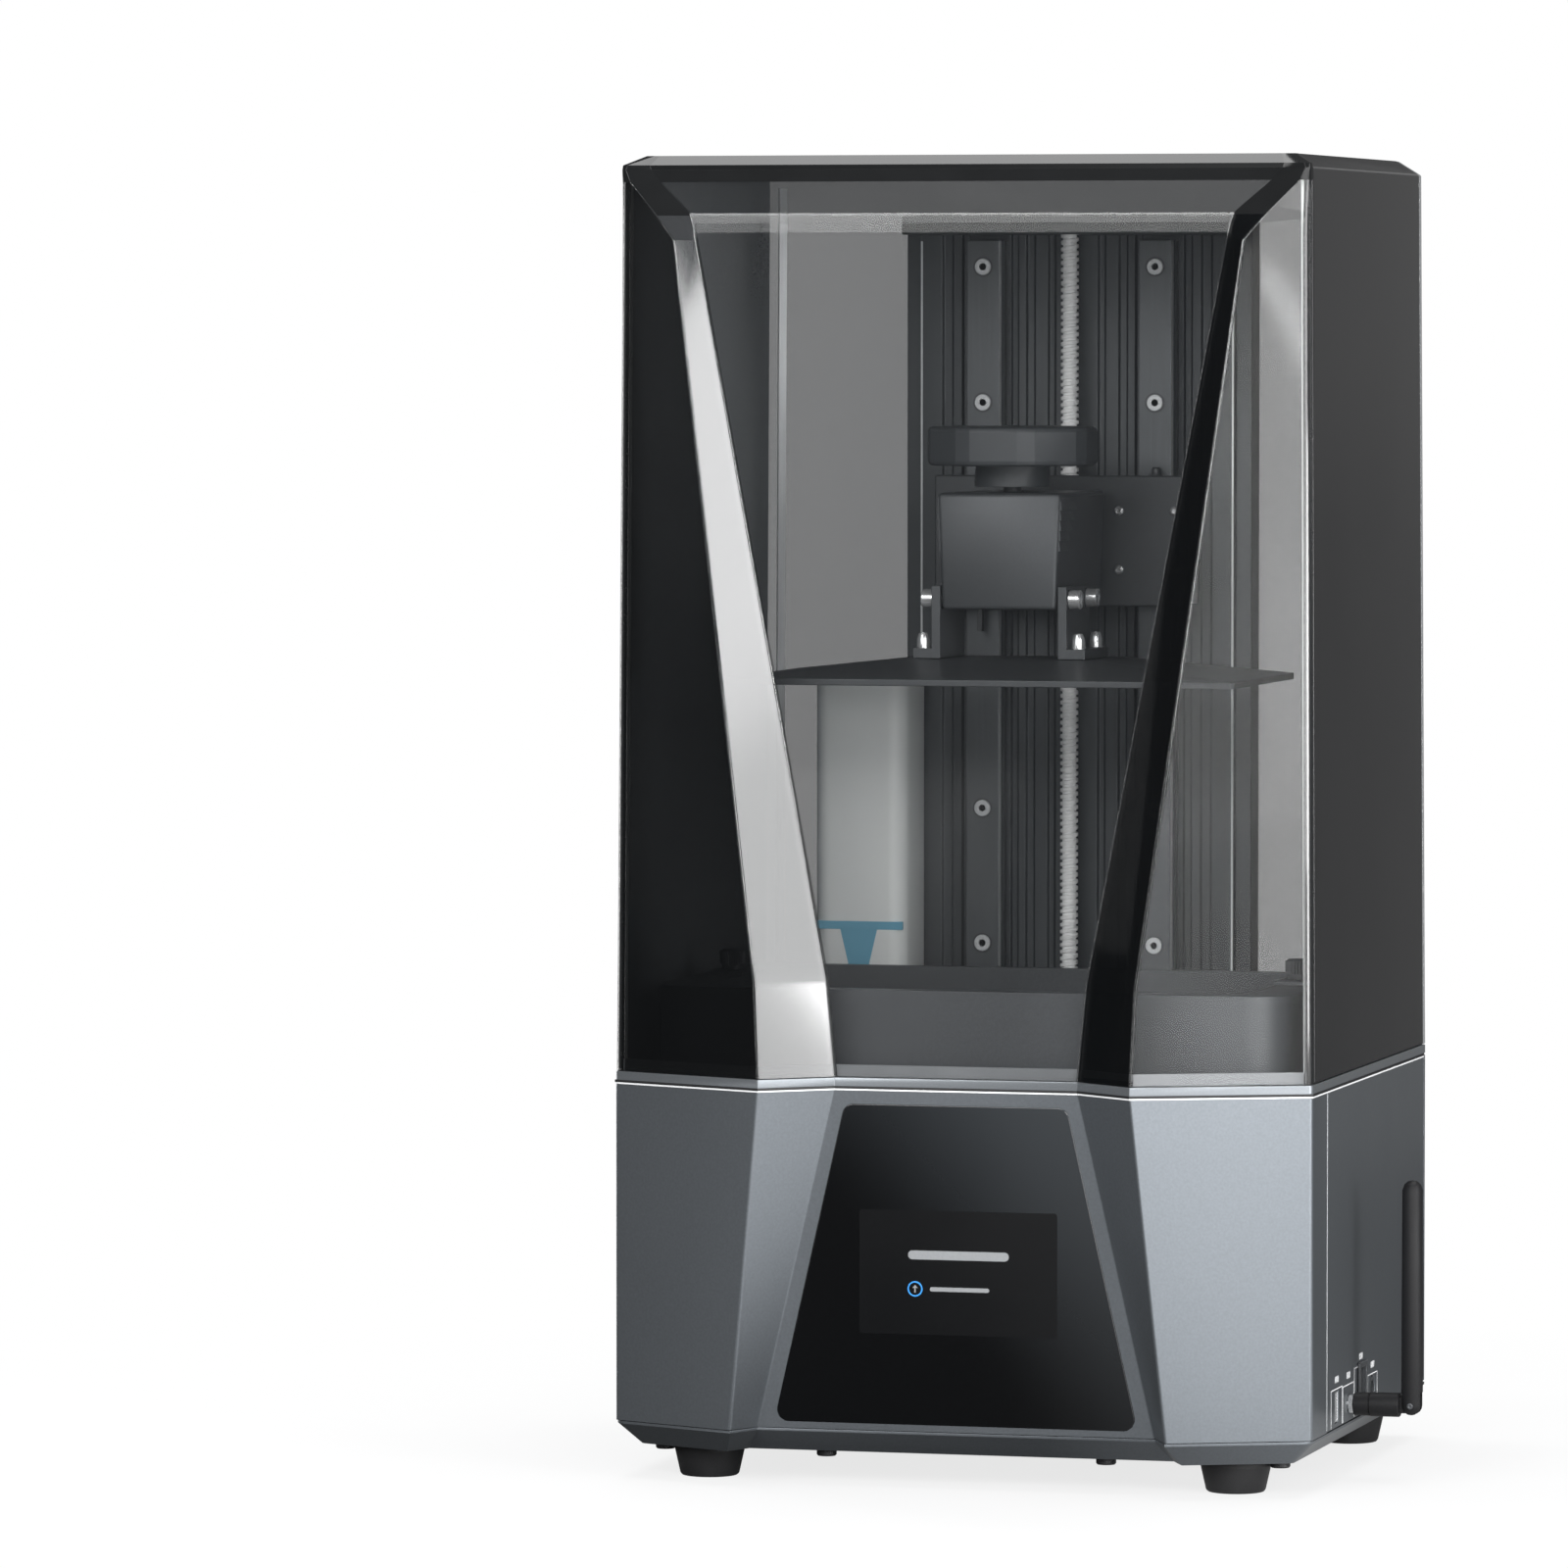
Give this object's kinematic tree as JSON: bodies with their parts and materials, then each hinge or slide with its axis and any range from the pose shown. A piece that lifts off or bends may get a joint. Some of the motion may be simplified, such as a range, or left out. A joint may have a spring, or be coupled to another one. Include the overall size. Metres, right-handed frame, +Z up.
{
  "type": "resin 3d printer",
  "caption": "Desktop resin printer with a faceted base, lift-off tinted cover, twin-rail Z tower, clamped build plate, resin vat and air purifier.",
  "frame": {"origin": "on the ground under the middle of the base, midway between its sides", "axes": "+Z up, -Y to the front where the touchscreen is, +X to the side with the ports and antenna"},
  "size_m": [0.3382, 0.2724, 0.5673],
  "materials": {
    "shell_grey": "satin slate-grey powder coat, fine texture",
    "trim_silver": "satin silver-grey trim",
    "black_glass": "glossy black printed glass",
    "lcd_glass": "dark monochrome panel",
    "dark_plastic": "fine-grained moulded dark plastic",
    "dark_metal": "sand-blasted, anodised dark grey",
    "tower_metal": "extruded, anodised dark grey",
    "vat_plastic": "matte dark grey moulding",
    "steel": "ground bright steel",
    "aluminium": "plain aluminium",
    "brass": "plain brass",
    "rubber": "black rubber",
    "board_green": "green circuit board",
    "motor_steel": "laminated steel, black end caps",
    "reflector": "bright reflector sheet",
    "clear_film": "thin clear release film",
    "light_plastic": "light grey moulding with a blue band",
    "filter_black": "activated carbon filter cartridge",
    "tinted_clear": "smoke-tinted clear acrylic",
    "cover_black": "glossy black acrylic"
  },
  "bodies": {
    "base": {"bottom_tray": "shell_grey", "front_fascia": "shell_grey", "side_panel_left": "shell_grey", "side_panel_right": "shell_grey", "rear_panel": "shell_grey", "foot_front_left": "rubber", "foot_front_right": "rubber", "foot_rear_left": "rubber", "foot_rear_right": "rubber", "deck_plate": "dark_metal", "lcd_panel": "lcd_glass", "screen_glass": "black_glass", "light_reflector": "reflector", "led_board": "board_green", "heat_sink": "aluminium", "mainboard": "board_green", "z_motor": "motor_steel", "exhaust_fan_frame": "dark_plastic", "front_glass": "black_glass", "touchscreen_module": "dark_plastic", "usb_socket": "steel", "power_jack": "dark_plastic", "switch_housing": "dark_plastic", "antenna_socket": "steel", "tower_column": "tower_metal", "rail_left": "steel", "rail_right": "steel", "top_bearing": "tower_metal"},
    "cover": {"cover_front_window": "tinted_clear", "cover_shell": "cover_black", "cover_rear_window": "tinted_clear", "cover_rim": "trim_silver"},
    "carriage": {"carriage_plate": "dark_metal", "slide_block_left": "steel", "slide_block_right": "steel", "lead_nut": "brass", "carriage_arm": "dark_metal", "limit_flag": "dark_plastic"},
    "screw": {"lead_screw": "steel", "motor_coupler": "aluminium"},
    "platform": {"head_block": "dark_metal", "side_bolt_front": "steel", "side_bolt_rear": "steel"},
    "knob": {"clamp_knob": "dark_plastic"},
    "plate": {"build_plate": "dark_metal", "bracket_left": "dark_metal", "bracket_right": "dark_metal"},
    "vat": {"vat_body": "vat_plastic", "vat_film": "clear_film", "film_frame": "aluminium"},
    "thumb_left": {"thumb_screw_left": "dark_metal"},
    "thumb_right": {"thumb_screw_right": "dark_metal"},
    "purifier": {"purifier_body": "light_plastic", "purifier_base": "dark_plastic", "purifier_filter": "filter_black"},
    "rocker": {"switch_rocker": "dark_plastic"},
    "antenna_hub": {"antenna_barrel": "rubber"},
    "antenna": {"antenna_whip": "rubber"},
    "exhaust_fan": {"exhaust_fan_rotor": "dark_plastic"}
  },
  "joints": [
    {"name": "cover_lift", "type": "slide", "parent": "base", "child": "cover", "axis": [0, 0, 1], "range_m": [0, 0.4]},
    {"name": "z_travel", "type": "slide", "parent": "base", "child": "carriage", "axis": [0, 0, 1], "range_m": [-0.163, 0.1]},
    {"name": "screw_spin", "type": "hinge", "parent": "base", "child": "screw", "pos_m": [0, 0.0935, 0.3997], "axis": [0, 0, 1], "range_deg": [-12050, 19600]},
    {"name": "platform_release", "type": "slide", "parent": "carriage", "child": "platform", "axis": [0, -1, 0], "range_m": [0, 0.03]},
    {"name": "clamp_knob_turn", "type": "hinge", "parent": "platform", "child": "knob", "pos_m": [0, -0.013, 0.44], "axis": [0, 0, 1], "range_deg": [0, 720]},
    {"name": "plate_level", "type": "slide", "parent": "platform", "child": "plate", "axis": [0, 0, 1], "range_m": [-0.0015, 0.0015]},
    {"name": "vat_lift", "type": "slide", "parent": "base", "child": "vat", "axis": [0, 0, 1], "range_m": [0, 0.05]},
    {"name": "thumb_left_turn", "type": "hinge", "parent": "vat", "child": "thumb_left", "pos_m": [-0.1265, -0.0107, 0.2133], "axis": [0, 0, 1], "range_deg": [0, 1080]},
    {"name": "thumb_right_turn", "type": "hinge", "parent": "vat", "child": "thumb_right", "pos_m": [0.1265, -0.0107, 0.2133], "axis": [0, 0, 1], "range_deg": [0, 1080]},
    {"name": "purifier_lift", "type": "slide", "parent": "base", "child": "purifier", "axis": [0, 0, 1], "range_m": [0, 0.12]},
    {"name": "power_rocker", "type": "hinge", "parent": "base", "child": "rocker", "pos_m": [0.15175, -0.0031, 0.037], "axis": [0, 1, 0], "range_deg": [0, 12]},
    {"name": "antenna_swivel", "type": "hinge", "parent": "base", "child": "antenna_hub", "pos_m": [0.15535, -0.0283, 0.0322], "axis": [1, 0, 0], "range_deg": [-90, 90]},
    {"name": "antenna_elbow", "type": "hinge", "parent": "antenna_hub", "child": "antenna", "pos_m": [0.1805, -0.0283, 0.0322], "axis": [0, 1, 0], "range_deg": [0, 90]},
    {"name": "exhaust_fan_spin", "type": "hinge", "parent": "base", "child": "exhaust_fan", "pos_m": [0.085, 0.1242, 0.09], "axis": [0, 1, 0], "continuous": true}
  ],
  "couplings": [
    {"joint": "screw_spin", "follows": "z_travel", "rad_per_m": -2094.4}
  ]
}
